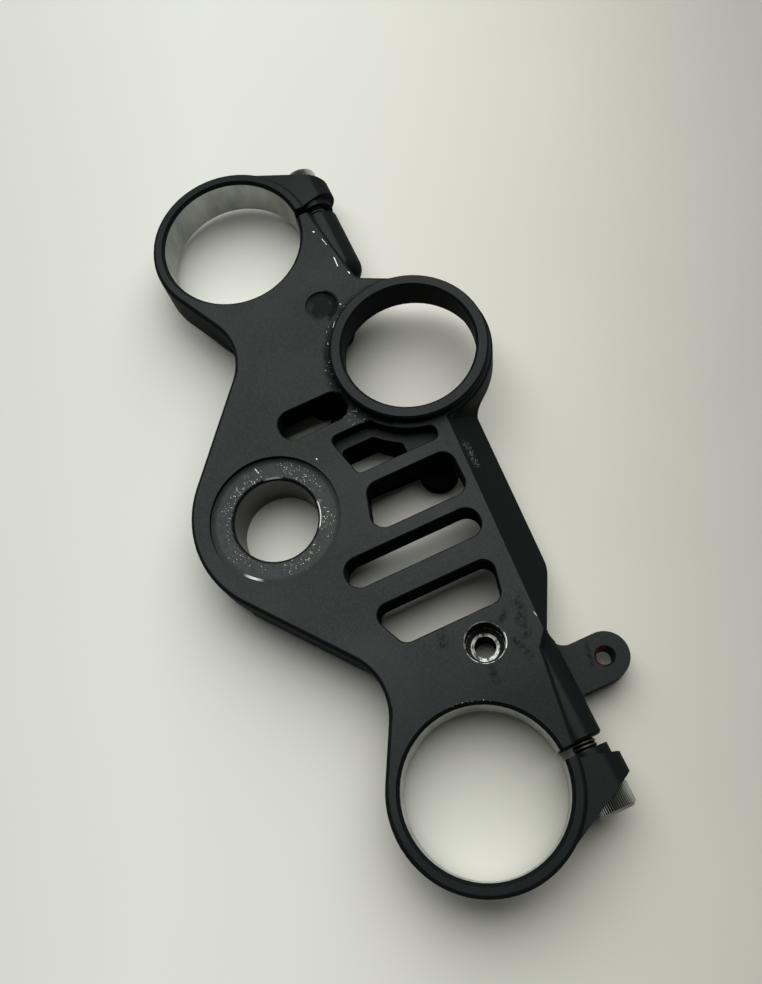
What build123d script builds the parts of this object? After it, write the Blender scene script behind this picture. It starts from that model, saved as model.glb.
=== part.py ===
from build123d import *
import math
import os

os.makedirs("parts", exist_ok=True)

# Upper triple clamp of a motorcycle. X points to the rider's right, Y forward, Z up.
# The steering stem turns about Z, and the underside of its boss rests at height zero.

# Levels
top_level = 20.0
plate_thickness = 11.5
clamp_height = 17.5
rim_round = 1.5
slot_edge_break = 0.35

# Fork clamps
fork_spacing = 210.0
fork_offset = 25.0
fork_radius = 25.0
fork_wall = 4.5
fork_top_chamfer = 1.2
fork_bottom_chamfer = 1.5
fork_block_margin = 6.5

# Steering stem
stem_radius = 14.0
stem_chamfer = 0.9
stem_recess_radius = 21.8
stem_recess_depth = 1.7
stem_boss_radius = 26.0

# Rear edge, from the stem out to each fork
rear_reach = 27.7
rear_arc_radius = 35.0
flank_angle = 38.8
shoulder_angle = 27.5
notch_radius = 20.0
rib_width = 7.0
rib_length = 78.0

# Front edge, with distances inboard taken from the fork axis
front_reach = 65.05
front_angle = 2.6
bevel_run = 10.8
bevel_depth = 11.2
front_corner_inboard = 54.8
front_corner_round = 12.0
front_corner_angle = 28.5
front_end_inboard = 34.8
step_inboard = 30.5
gusset_inboard = 34.5
gusset_round = 5.0
lug_line_angle = 8.1

# Pinch lugs and ears, with plan points taken from the fork axis
pinch_reach = 32.8
slit_width = 3.2
lug_radius = 6.6
lug_end_break = 0.6
right_lug_length = 34.2
left_lug_length = 29.4
left_lug_end_round = 6.4
ear_step_near = (2.4, 28.0)
ear_step_far = (5.6, 41.6)
ear_side_near = (25.0, 15.0)
ear_side_far = (11.7, 41.6)
ear_drop = 1.3

# Pinch screws
screw_radius = 4.0
screw_length = 35.0
screw_tip_chamfer = 0.8
head_radius = 6.5
head_height = 8.0
head_chamfer = 0.8
socket_across_flats = 6.0
socket_depth = 4.0
right_seat_outboard = 12.9
left_seat_outboard = 11.8
screw_hole_clearance = 0.5
thread_clearance = 0.05
seat_clearance = 0.4
tapped_run_out = 4.0

# Ignition switch housing, with plan points taken from the switch axis
ignition_x = -35.7
ignition_y = 64.6
ignition_wall_radius = 28.2
ignition_wall_top_round = 1.0
ignition_blend_round = 5.0
ignition_blend_slope = 8.0
ignition_ring_radius = 27.0
ignition_ring_rise = 4.0
ignition_lip_radius = 22.7
ignition_lip_length = 10.0
ignition_seat_radius = 24.5
ignition_inner_chamfer = 0.9
ignition_outer_chamfer = 0.6
ignition_gusset_angle = 152.0
rear_switch_boss = (-3.7, -32.6)
right_switch_boss = (38.9, -8.1)
switch_boss_radius = 6.6
switch_hole_radius = 3.4
switch_hole_depth = 7.0
flange_corners = ((3.7, -33.1), (17.7, -38.1), (36.1, -37.6), (37.1, -14.6))
flange_corner_round = 3.0

# Lightening slots through the plate: left, right, rear and front limits, or corners
outer_left_slot = (-33.5, -22.7, 13.0, 37.5)
long_slot = (23.5, 33.6, 13.2, 60.0)
slot_round = 4.8
middle_slot = ((2.8, 31.3), (18.7, 27.2), (18.7, 61.3), (2.8, 61.3))
middle_slot_round = 4.5
right_slot = ((41.4, 14.9), (55.7, 21.5), (55.7, 54.9), (41.4, 58.0))
right_slot_round = 4.0

# Stepped pocket beside the ignition ring
pocket_corners = ((-18.0, 26.9), (-2.1, 30.9), (-2.1, 60.3), (-18.0, 60.3))
pocket_ring_gap = 2.0
pocket_depth = 5.2
pocket_round = 2.2
pocket_hole_corners = ((-14.2, 28.4), (-2.1, 31.4), (-2.1, 49.0), (-14.2, 49.0))
pocket_hole_ring_gap = 5.0
pocket_hole_round = 1.8

# Bracket bosses, one each side: a counterbored hole on the right, a spot face on the left
bracket_x = 65.6
bracket_y = 44.0
bracket_boss_radius = 9.5
bracket_bore_radius = 6.3
bracket_bore_depth = 8.4
bracket_hole_radius = 3.5
bracket_edge_break = 0.3
spot_radius = 5.6
spot_depth = 0.8

# Cable guide tab
tab_inboard = 21.7
tab_reach = 18.6
tab_radius = 7.8
tab_thickness = 7.5
tab_hole_radius = 2.6
tab_hole_chamfer = 0.75
tab_left_round = 5.2
tab_right_round = 1.6

# Levels and places that follow from the values above
plate_bottom = top_level - plate_thickness
clamp_bottom = top_level - clamp_height
fork_x = fork_spacing / 2
fork_axis = Vector(fork_x, fork_offset)
fork_ring_radius = fork_radius + fork_wall
slit_face = fork_x - slit_width / 2
pinch_y = fork_offset + pinch_reach
pinch_z = clamp_bottom + clamp_height / 2
ear_radius = clamp_height / 2 - ear_drop
ear_round_y = fork_offset + ear_side_far[1] - ear_radius
right_seat = fork_x + right_seat_outboard
left_seat = fork_x + left_seat_outboard
tab_centre = Vector(fork_x - tab_inboard, pinch_y + tab_reach)
tab_top = clamp_bottom + tab_thickness
switch_axis = Vector(ignition_x, ignition_y)
ring_top = top_level + ignition_ring_rise
switch_seat = ring_top - ignition_lip_length
stem_floor = top_level - stem_recess_depth
rear_arc_centre = Vector(0, rear_arc_radius - rear_reach)


def on_circle(centre, radius, angle):
    turn = math.radians(angle)
    return centre + Vector(math.cos(turn), math.sin(turn)) * radius


def along_line(point, angle, x):
    return Vector(x, point.Y + (x - point.X) * math.tan(math.radians(angle)))


def crossing(point_a, angle_a, point_b, angle_b):
    # Where the line through point_a meets the line through point_b
    slope_a = math.tan(math.radians(angle_a))
    slope_b = math.tan(math.radians(angle_b))
    x = point_a.X + (point_b.Y - point_a.Y + slope_b * (point_a.X - point_b.X)) / (slope_a - slope_b)
    return along_line(point_a, angle_a, x)


def opposite(point):
    return Vector(-point.X, point.Y)


def prism(plan, low, high):
    return extrude(Pos(0, 0, low) * plan, amount=high - low)


def disc(centre, radius, low, high):
    return prism(Pos(centre.X, centre.Y) * Circle(radius), low, high)


def rim_cut(centre, radius, level, size):
    # Chamfer round a hole's upper rim, or its lower rim if size is negative
    height = 2 * abs(size)
    cone = Cone(radius, radius + height, height, align=(Align.CENTER, Align.CENTER, Align.MIN))
    facing = Pos(0, 0, -size) if size > 0 else Pos(0, 0, -size) * Rot(180, 0, 0)
    return Pos(centre.X, centre.Y, level) * facing * cone


def rounded_polygon(corners, radius):
    with BuildSketch() as sketch:
        Polygon(*corners, align=None)
        fillet(sketch.vertices(), radius)
    return sketch.sketch


def limits_slot(left, right, rear, front):
    slot = RectangleRounded(right - left, front - rear, slot_round)
    return Pos((left + right) / 2, (rear + front) / 2) * slot


# Points of the outline that several features share

flank_touch = on_circle(rear_arc_centre, rear_arc_radius, flank_angle - 90)
shoulder_touch = on_circle(fork_axis, fork_ring_radius, -90 - shoulder_angle)
notch = crossing(flank_touch, flank_angle, shoulder_touch, -shoulder_angle)
lug_touch = on_circle(fork_axis, fork_ring_radius, 90 - lug_line_angle)
step = along_line(lug_touch, -lug_line_angle, fork_x - step_inboard)
gusset_foot = opposite(along_line(lug_touch, -lug_line_angle, fork_x - gusset_inboard))
front_start = along_line(Vector(0, front_reach), -front_angle, ignition_x)
front_normal = Vector(math.sin(math.radians(front_angle)), math.cos(math.radians(front_angle)))
bevel_start = front_start + front_normal * bevel_run
front_corner = along_line(bevel_start, -front_angle, fork_x - front_corner_inboard)
front_end = along_line(front_corner, -front_corner_angle, fork_x - front_end_inboard)


def corner_at(sketch, point):
    return sketch.vertices().sort_by_distance((point.X, point.Y))[0]


def plate_plan():
    # Outline seen from above, with arcs round the stem and both forks
    rear = (flank_touch, notch, shoulder_touch, fork_axis, lug_touch)
    right_front = (step, front_end, front_corner, bevel_start)
    gusset_top = on_circle(switch_axis, ignition_wall_radius, ignition_gusset_angle)
    left_rear = tuple(opposite(point) for point in reversed(rear))
    with BuildSketch() as sketch:
        Polygon(*rear, *right_front, gusset_top, gusset_foot, *left_rear, align=None)
        with Locations(rear_arc_centre):
            Circle(rear_arc_radius)
        with Locations(fork_axis, opposite(fork_axis)):
            Circle(fork_ring_radius)
        fillet([corner_at(sketch, notch), corner_at(sketch, opposite(notch))], notch_radius)
        fillet(corner_at(sketch, front_corner), front_corner_round)
        fillet(corner_at(sketch, gusset_foot), gusset_round)
    return sketch.sketch


def lightening_slots():
    slots = limits_slot(*outer_left_slot) + limits_slot(*long_slot)
    slots += rounded_polygon(middle_slot, middle_slot_round)
    return slots + rounded_polygon(right_slot, right_slot_round)


def ringside_outline(corners, gap, radius):
    # Outline whose ring side runs concentric with the ignition ring
    with BuildSketch() as sketch:
        Polygon(*corners, align=None)
        with Locations(switch_axis):
            Circle(ignition_ring_radius + gap, mode=Mode.SUBTRACT)
        fillet(sketch.vertices(), radius)
    return sketch.sketch


def front_bevel():
    # Sloping cut along the front edge, from the top face down to the underside
    along = Vector(front_normal.Y, -front_normal.X)
    origin = Vector(front_start.X, front_start.Y, top_level)
    profile = Polygon(
        (-bevel_run, bevel_depth),
        (bevel_run, -bevel_depth),
        (3 * bevel_run, -bevel_depth),
        (3 * bevel_run, bevel_depth),
        align=None,
    )
    return extrude(Plane(origin, x_dir=front_normal, z_dir=along) * profile, amount=step.X - front_start.X)


def plate(plan):
    slab = prism(plan, plate_bottom, top_level)
    slab = fillet(slab.faces().sort_by(Axis.Z)[-1].outer_wire().edges(), rim_round)
    slab -= prism(lightening_slots(), plate_bottom, top_level)
    pocket = ringside_outline(pocket_corners, pocket_ring_gap, pocket_round)
    slab -= prism(pocket, top_level - pocket_depth, top_level)
    openings = slab.faces().sort_by(Axis.Z)[-1].inner_wires()
    slab = chamfer([edge for wire in openings for edge in wire.edges()], slot_edge_break)
    return slab - front_bevel()


def fork_block(plan, axis):
    area = plan & (Pos(axis.X, axis.Y) * Circle(fork_ring_radius + fork_block_margin))
    return prism(area, clamp_bottom, plate_bottom)


def rear_ribs(plan):
    corner = (Align.MIN, Align.MIN)
    strip = Rectangle(rib_length, rib_width, align=corner)
    band = Pos(flank_touch.X, flank_touch.Y) * Rot(0, 0, flank_angle) * strip
    right = prism(plan & band, clamp_bottom, plate_bottom)
    return right + mirror(right, about=Plane.YZ)


def cross_bar(y, radius, start, end):
    # Round bar along X at the height of the pinch screw
    bar = Cylinder(radius, end - start, align=(Align.CENTER, Align.CENTER, Align.MIN))
    return Pos(start, y, pinch_z) * Rot(0, 90, 0) * bar


def pinch_bar(radius, start, end):
    return cross_bar(pinch_y, radius, start, end)


def lug(length, end_round):
    # Threaded side of the pinch joint, inboard of the slit
    bar = pinch_bar(lug_radius, slit_face - length, slit_face)
    rims = bar.edges().filter_by(GeomType.CIRCLE).sort_by(Axis.X)
    bar = chamfer(rims[-1], lug_end_break)
    if end_round:
        bar = fillet(bar.edges().filter_by(GeomType.CIRCLE).sort_by(Axis.X)[0], end_round)
    return bar


def ear(seat_x):
    # Screw head side of the pinch joint, outboard of the slit, flat on top and round in front
    corners = (ear_step_near, ear_side_near, ear_side_far, ear_step_far)
    outline = Pos(fork_x, fork_offset) * Polygon(*corners, align=None)
    low = clamp_bottom + ear_drop
    high = top_level - ear_drop
    nose = prism(outline, low, high)
    nose &= cross_bar(ear_round_y, ear_radius, fork_x, fork_x + fork_ring_radius)
    behind = Rectangle(fork_ring_radius, ear_round_y - fork_offset, align=(Align.MIN, Align.MIN))
    web = prism(outline & Pos(fork_x, fork_offset) * behind, low, high)
    return nose + web + pinch_bar(lug_radius, fork_x, seat_x)


def pinch_cuts(seat_x):
    # Slit, screw hole, tapped hole and head seat of the right clamp
    slit = Pos(fork_x, pinch_y) * Rectangle(slit_width, 2 * (pinch_reach - fork_radius + clamp_height / 2))
    cuts = prism(slit, clamp_bottom, top_level)
    cuts += pinch_bar(screw_radius + screw_hole_clearance, fork_x, seat_x)
    cuts += pinch_bar(screw_radius + thread_clearance, seat_x - screw_length - tapped_run_out, fork_x)
    return cuts + pinch_bar(head_radius + seat_clearance, seat_x, seat_x + fork_radius)


def fork_bore():
    bore = disc(fork_axis, fork_radius, clamp_bottom, top_level)
    bore += rim_cut(fork_axis, fork_radius, top_level, fork_top_chamfer)
    return bore + rim_cut(fork_axis, fork_radius, clamp_bottom, -fork_bottom_chamfer)


def tab():
    # Cable guide tab ahead of the right lug, with a round root beside the front edge
    left = tab_centre.X - tab_radius
    right = tab_centre.X + tab_radius
    lug_front = pinch_y + lug_radius
    root = along_line(front_corner, -front_corner_angle, left)
    heel = along_line(front_corner, -front_corner_angle, front_end.X - tab_radius)
    with BuildSketch() as sketch:
        Polygon(
            (heel.X, pinch_y),
            (right + 2 * tab_right_round, pinch_y),
            (right + 2 * tab_right_round, lug_front),
            (right, lug_front),
            (right, tab_centre.Y),
            (left, tab_centre.Y),
            root,
            heel,
            align=None,
        )
        with Locations(tab_centre):
            Circle(tab_radius)
        fillet(corner_at(sketch, root), tab_left_round)
        fillet(corner_at(sketch, Vector(right, lug_front)), tab_right_round)
    return prism(sketch.sketch, clamp_bottom, tab_top)


def tab_root_cut():
    # Keeps the lug behind the round root of the tab
    x = tab_centre.X - tab_radius - tab_left_round
    line = along_line(front_corner, -front_corner_angle, x)
    lift = tab_left_round / math.cos(math.radians(front_corner_angle))
    return disc(Vector(x, line.Y + lift), tab_left_round, clamp_bottom, top_level)


def tab_hole():
    hole = disc(tab_centre, tab_hole_radius, clamp_bottom, tab_top)
    return hole + rim_cut(tab_centre, tab_hole_radius, tab_top, tab_hole_chamfer)


def wall_blend():
    # Hollow round between the ignition wall and the bevel, on a ramp a little flatter than the
    # bevel, so that it fades out towards the top face
    slope = math.degrees(math.atan2(bevel_depth, bevel_run)) - ignition_blend_slope
    reach = 6 * ignition_wall_radius
    foot = Pos(bevel_start.X, bevel_start.Y, plate_bottom) * Rot(0, 0, -front_angle)
    ramp = Box(reach, reach, bevel_run, align=(Align.CENTER, Align.CENTER, Align.MAX))
    joined = foot * Rot(-slope, 0, 0) * ramp
    joined += disc(switch_axis, ignition_wall_radius, -reach, reach)
    seams = joined.edges().filter_by(GeomType.ELLIPSE).sort_by(Axis.Z)
    joined = fillet(seams[-1], ignition_blend_round)
    span = ignition_wall_radius + bevel_run
    area = Pos(switch_axis.X, front_start.Y) * Rectangle(span, span, align=(Align.MIN, Align.MIN))
    return joined & prism(area, plate_bottom, top_level - ignition_wall_top_round)


def with_ignition_wall(body):
    # Round wall that carries the ring, blended into the front bevel
    wall = disc(switch_axis, ignition_wall_radius, plate_bottom, top_level)
    wall = fillet(wall.edges().sort_by(Axis.Z)[-1], ignition_wall_top_round)
    return body + wall + wall_blend()


def ignition_housing():
    ring = disc(switch_axis, ignition_ring_radius, plate_bottom, ring_top)
    ring = chamfer(ring.edges().sort_by(Axis.Z)[-1], ignition_outer_chamfer)
    corners = (Vector(0, 0), rear_switch_boss, *flange_corners, right_switch_boss)
    flange = prism(rounded_polygon(corners, flange_corner_round), 0, plate_bottom)
    housing = ring + Pos(ignition_x, ignition_y) * flange
    for place in (rear_switch_boss, right_switch_boss):
        housing += disc(switch_axis + Vector(*place), switch_boss_radius, 0, plate_bottom)
    return housing


def ignition_cuts():
    cuts = disc(switch_axis, ignition_lip_radius, switch_seat, ring_top)
    cuts += rim_cut(switch_axis, ignition_lip_radius, ring_top, ignition_inner_chamfer)
    cuts += disc(switch_axis, ignition_seat_radius, 0, switch_seat)
    for place in (rear_switch_boss, right_switch_boss):
        cuts += disc(switch_axis + Vector(*place), switch_hole_radius, 0, switch_hole_depth)
    pocket_hole = ringside_outline(pocket_hole_corners, pocket_hole_ring_gap, pocket_hole_round)
    return cuts + prism(pocket_hole, 0, top_level - pocket_depth)


def stem_cuts():
    stem_axis = Vector(0, 0)
    cuts = disc(stem_axis, stem_recess_radius, stem_floor, top_level)
    cuts += disc(stem_axis, stem_radius, 0, stem_floor)
    return cuts + rim_cut(stem_axis, stem_radius, stem_floor, stem_chamfer)


def bracket_cuts():
    right = Vector(bracket_x, bracket_y)
    cuts = disc(right, bracket_hole_radius, 0, top_level)
    cuts += disc(right, bracket_bore_radius, top_level - bracket_bore_depth, top_level)
    cuts += rim_cut(right, bracket_bore_radius, top_level, bracket_edge_break)
    return cuts + disc(opposite(right), spot_radius, top_level - spot_depth, top_level)


def triple_clamp():
    plan = plate_plan()
    body = with_ignition_wall(plate(plan))
    for axis in (fork_axis, opposite(fork_axis)):
        body += fork_block(plan, axis)
    body += rear_ribs(plan)
    body += disc(Vector(0, 0), stem_boss_radius, 0, plate_bottom)
    for side in (bracket_x, -bracket_x):
        body += disc(Vector(side, bracket_y), bracket_boss_radius, 0, plate_bottom)
    body += ignition_housing()
    body += lug(right_lug_length, 0) - tab_root_cut()
    body += mirror(lug(left_lug_length, left_lug_end_round), about=Plane.YZ)
    body += ear(right_seat) + mirror(ear(left_seat), about=Plane.YZ)
    body += tab()
    body -= pinch_cuts(right_seat) + fork_bore()
    body -= mirror(pinch_cuts(left_seat) + fork_bore(), about=Plane.YZ)
    return body - ignition_cuts() - stem_cuts() - bracket_cuts() - tab_hole()


def pinch_screw(seat_x):
    # Socket head cap screw of the right clamp, head outboard
    head = pinch_bar(head_radius, seat_x, seat_x + head_height)
    head = chamfer(head.edges().filter_by(GeomType.CIRCLE).sort_by(Axis.X)[-1], head_chamfer)
    shank = pinch_bar(screw_radius, seat_x - screw_length, seat_x)
    shank = chamfer(shank.edges().filter_by(GeomType.CIRCLE).sort_by(Axis.X)[0], screw_tip_chamfer)
    socket_corner = socket_across_flats / math.sqrt(3)
    socket = extrude(RegularPolygon(socket_corner, 6), amount=-socket_depth)
    return head + shank - Pos(seat_x + head_height, pinch_y, pinch_z) * Rot(0, 90, 0) * socket


pieces = {
    "triple_clamp": triple_clamp(),
    "pinch_screw_right": pinch_screw(right_seat),
    "pinch_screw_left": mirror(pinch_screw(left_seat), about=Plane.YZ),
}
for node, solid in pieces.items():
    export_step(solid, f"parts/{node}.step")
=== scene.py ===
import math

import bmesh
import bpy
from mathutils import Vector, Matrix


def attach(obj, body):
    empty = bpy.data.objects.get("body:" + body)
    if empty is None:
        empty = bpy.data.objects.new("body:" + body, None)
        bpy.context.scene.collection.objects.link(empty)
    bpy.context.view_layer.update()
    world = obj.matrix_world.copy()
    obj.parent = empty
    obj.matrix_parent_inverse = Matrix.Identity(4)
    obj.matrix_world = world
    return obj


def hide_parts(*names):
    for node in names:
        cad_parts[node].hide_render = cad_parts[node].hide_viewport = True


# Upper triple clamp of a motorcycle, lying top side up on a pale table.
# Sizes beside the pieces are in millimetres, the scene itself is in metres.

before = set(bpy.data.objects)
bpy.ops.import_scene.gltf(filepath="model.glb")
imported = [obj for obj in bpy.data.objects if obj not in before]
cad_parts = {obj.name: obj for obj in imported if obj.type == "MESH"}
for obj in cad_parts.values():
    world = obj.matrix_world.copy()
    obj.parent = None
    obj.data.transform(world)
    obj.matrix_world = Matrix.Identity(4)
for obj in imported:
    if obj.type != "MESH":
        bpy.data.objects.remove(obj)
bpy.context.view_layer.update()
mm = 0.001


def linear(hexColour):
    channels = [int(hexColour[i:i + 2], 16) / 255 for i in (1, 3, 5)]
    bent = [c / 12.92 if c <= 0.04045 else ((c + 0.055) / 1.055) ** 2.4 for c in channels]
    return (*bent, 1.0)


def addNode(tree, kind, inputs=None, **settings):
    # inputs take a number, a colour, a socket, or a node, which stands for its first live output
    node = tree.nodes.new(kind)
    for name, value in settings.items():
        setattr(node, name, value)
    for key, value in (inputs or {}).items():
        named = [socket for socket in node.inputs if socket.enabled and socket.name == key]
        target = node.inputs[key] if isinstance(key, int) else named[0]
        if isinstance(value, bpy.types.Node):
            value = next(socket for socket in value.outputs if socket.enabled)
        if isinstance(value, bpy.types.NodeSocket):
            tree.links.new(value, target)
        else:
            target.default_value = value
    return node


def newGroup(name, kind, inputs, outputs):
    group = bpy.data.node_groups.new(name, kind)
    for label, socketType in inputs:
        group.interface.new_socket(label, in_out="INPUT", socket_type=socketType)
    for label, socketType in outputs:
        group.interface.new_socket(label, in_out="OUTPUT", socket_type=socketType)
    start = group.nodes.new("NodeGroupInput")
    end = group.nodes.new("NodeGroupOutput")
    return group, start, end


def newMaterial(name):
    material = bpy.data.materials.new(name)
    material.use_nodes = True
    tree = material.node_tree
    shader = next(node for node in tree.nodes if node.type == "BSDF_PRINCIPLED")
    return material, tree, shader


def placeInMillimetres(tree):
    coords = addNode(tree, "ShaderNodeTexCoord")
    return addNode(tree, "ShaderNodeVectorMath", {0: coords.outputs["Object"], "Scale": 1 / mm},
                   operation="SCALE")


def meshObject(name, mesh):
    piece = bpy.data.objects.new(name, mesh)
    bpy.context.scene.collection.objects.link(piece)
    return piece


# Node groups that place wear on a surface. Everything in them is in millimetres.

wearEdges = {
    "ragged": 1.6,       # repeats per millimetre of a stroke's ragged edge
    "core": 0.55,        # share of a stroke's width that is fully worn
    "turnSoft": 0.03,    # how much of the cosine a sector fades over
}


def scuffGroup():
    # a stroke between two plan points, with a ragged edge
    vector, number = "NodeSocketVector", "NodeSocketFloat"
    inputs = [("Place", vector), ("From", vector), ("To", vector), ("Width", number)]
    group, start, end = newGroup("scuffMark", "ShaderNodeTree", inputs, [("Mask", number)])
    place, begin, width = start.outputs["Place"], start.outputs["From"], start.outputs["Width"]
    flat = addNode(group, "ShaderNodeVectorMath", {0: place, 1: (1, 1, 0)}, operation="MULTIPLY")
    away = addNode(group, "ShaderNodeVectorMath", {0: flat, 1: begin}, operation="SUBTRACT")
    along = addNode(group, "ShaderNodeVectorMath", {0: start.outputs["To"], 1: begin}, operation="SUBTRACT")
    reach = addNode(group, "ShaderNodeVectorMath", {0: away, 1: along}, operation="DOT_PRODUCT")
    whole = addNode(group, "ShaderNodeVectorMath", {0: along, 1: along}, operation="DOT_PRODUCT")
    share = addNode(group, "ShaderNodeMath", {0: reach, 1: whole}, operation="DIVIDE", use_clamp=True)
    nearest = addNode(group, "ShaderNodeVectorMath", {0: along, "Scale": share}, operation="SCALE")
    gap = addNode(group, "ShaderNodeVectorMath", {0: away, 1: nearest}, operation="DISTANCE")
    ragged = addNode(group, "ShaderNodeTexNoise", {"Vector": place, "Scale": wearEdges["ragged"],
                                                   "Detail": 3.0})
    torn = addNode(group, "ShaderNodeMath", {0: ragged, 1: width, 2: gap}, operation="MULTIPLY_ADD")
    inner = addNode(group, "ShaderNodeMath", {0: width, 1: wearEdges["core"]}, operation="MULTIPLY")
    mask = addNode(group, "ShaderNodeMapRange", {"Value": torn, "From Min": inner, "From Max": width,
                                                 "To Min": 1.0, "To Max": 0.0},
                   interpolation_type="SMOOTHSTEP")
    group.links.new(mask.outputs["Result"], end.inputs["Mask"])
    return group


def ringGroup():
    # a ring-shaped zone round an upright axis, between two radii
    vector, number = "NodeSocketVector", "NodeSocketFloat"
    inputs = [("Place", vector), ("Centre", vector), ("Inner", number), ("Outer", number), ("Soft", number)]
    group, start, end = newGroup("ringZone", "ShaderNodeTree", inputs, [("Mask", number), ("Radius", number)])
    soft, inner, outer = (start.outputs[name] for name in ("Soft", "Inner", "Outer"))
    away = addNode(group, "ShaderNodeVectorMath", {0: start.outputs["Place"], 1: start.outputs["Centre"]},
                   operation="SUBTRACT")
    flat = addNode(group, "ShaderNodeVectorMath", {0: away, 1: (1, 1, 0)}, operation="MULTIPLY")
    radius = addNode(group, "ShaderNodeVectorMath", {0: flat}, operation="LENGTH")
    innerEdge = addNode(group, "ShaderNodeMath", {0: inner, 1: soft}, operation="SUBTRACT")
    outerEdge = addNode(group, "ShaderNodeMath", {0: outer, 1: soft}, operation="ADD")
    inside = addNode(group, "ShaderNodeMapRange", {"Value": radius, "From Min": innerEdge, "From Max": inner},
                     interpolation_type="SMOOTHSTEP")
    outside = addNode(group, "ShaderNodeMapRange", {"Value": radius, "From Min": outer,
                                                    "From Max": outerEdge, "To Min": 1.0, "To Max": 0.0},
                      interpolation_type="SMOOTHSTEP")
    both = addNode(group, "ShaderNodeMath", {0: inside, 1: outside}, operation="MULTIPLY")
    group.links.new(both.outputs[0], end.inputs["Mask"])
    group.links.new(radius.outputs["Value"], end.inputs["Radius"])
    return group


def sectorGroup():
    # the part of a ring that faces one way; Narrow is the cosine of half its angle
    vector, number = "NodeSocketVector", "NodeSocketFloat"
    inputs = [("Place", vector), ("Centre", vector), ("Facing", vector), ("Narrow", number)]
    group, start, end = newGroup("sector", "ShaderNodeTree", inputs, [("Mask", number)])
    narrow = start.outputs["Narrow"]
    away = addNode(group, "ShaderNodeVectorMath", {0: start.outputs["Place"], 1: start.outputs["Centre"]},
                   operation="SUBTRACT")
    flat = addNode(group, "ShaderNodeVectorMath", {0: away, 1: (1, 1, 0)}, operation="MULTIPLY")
    unit = addNode(group, "ShaderNodeVectorMath", {0: flat}, operation="NORMALIZE")
    facing = addNode(group, "ShaderNodeVectorMath", {0: start.outputs["Facing"]}, operation="NORMALIZE")
    turn = addNode(group, "ShaderNodeVectorMath", {0: unit, 1: facing}, operation="DOT_PRODUCT")
    full = addNode(group, "ShaderNodeMath", {0: narrow, 1: wearEdges["turnSoft"]}, operation="ADD")
    mask = addNode(group, "ShaderNodeMapRange", {"Value": turn, "From Min": narrow, "From Max": full},
                   interpolation_type="SMOOTHSTEP")
    group.links.new(mask.outputs["Result"], end.inputs["Mask"])
    return group


scuffMark, ringZone, sector = scuffGroup(), ringGroup(), sectorGroup()
print("wear groups ready")


# Yoke: the black clamp itself. Plan positions are in millimetres from the stem axis.

forkCentres = ((105.0, 25.0, 0.0), (-105.0, 25.0, 0.0))
stemCentre = (0.0, 0.0, 0.0)
bracketCentre = (65.6, 44.0, 0.0)
spotCentre = (-65.6, 44.0, 0.0)
tabCentre = (83.3, 76.4, 0.0)
ringCentre = (-35.7, 64.6, 0.0)

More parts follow.
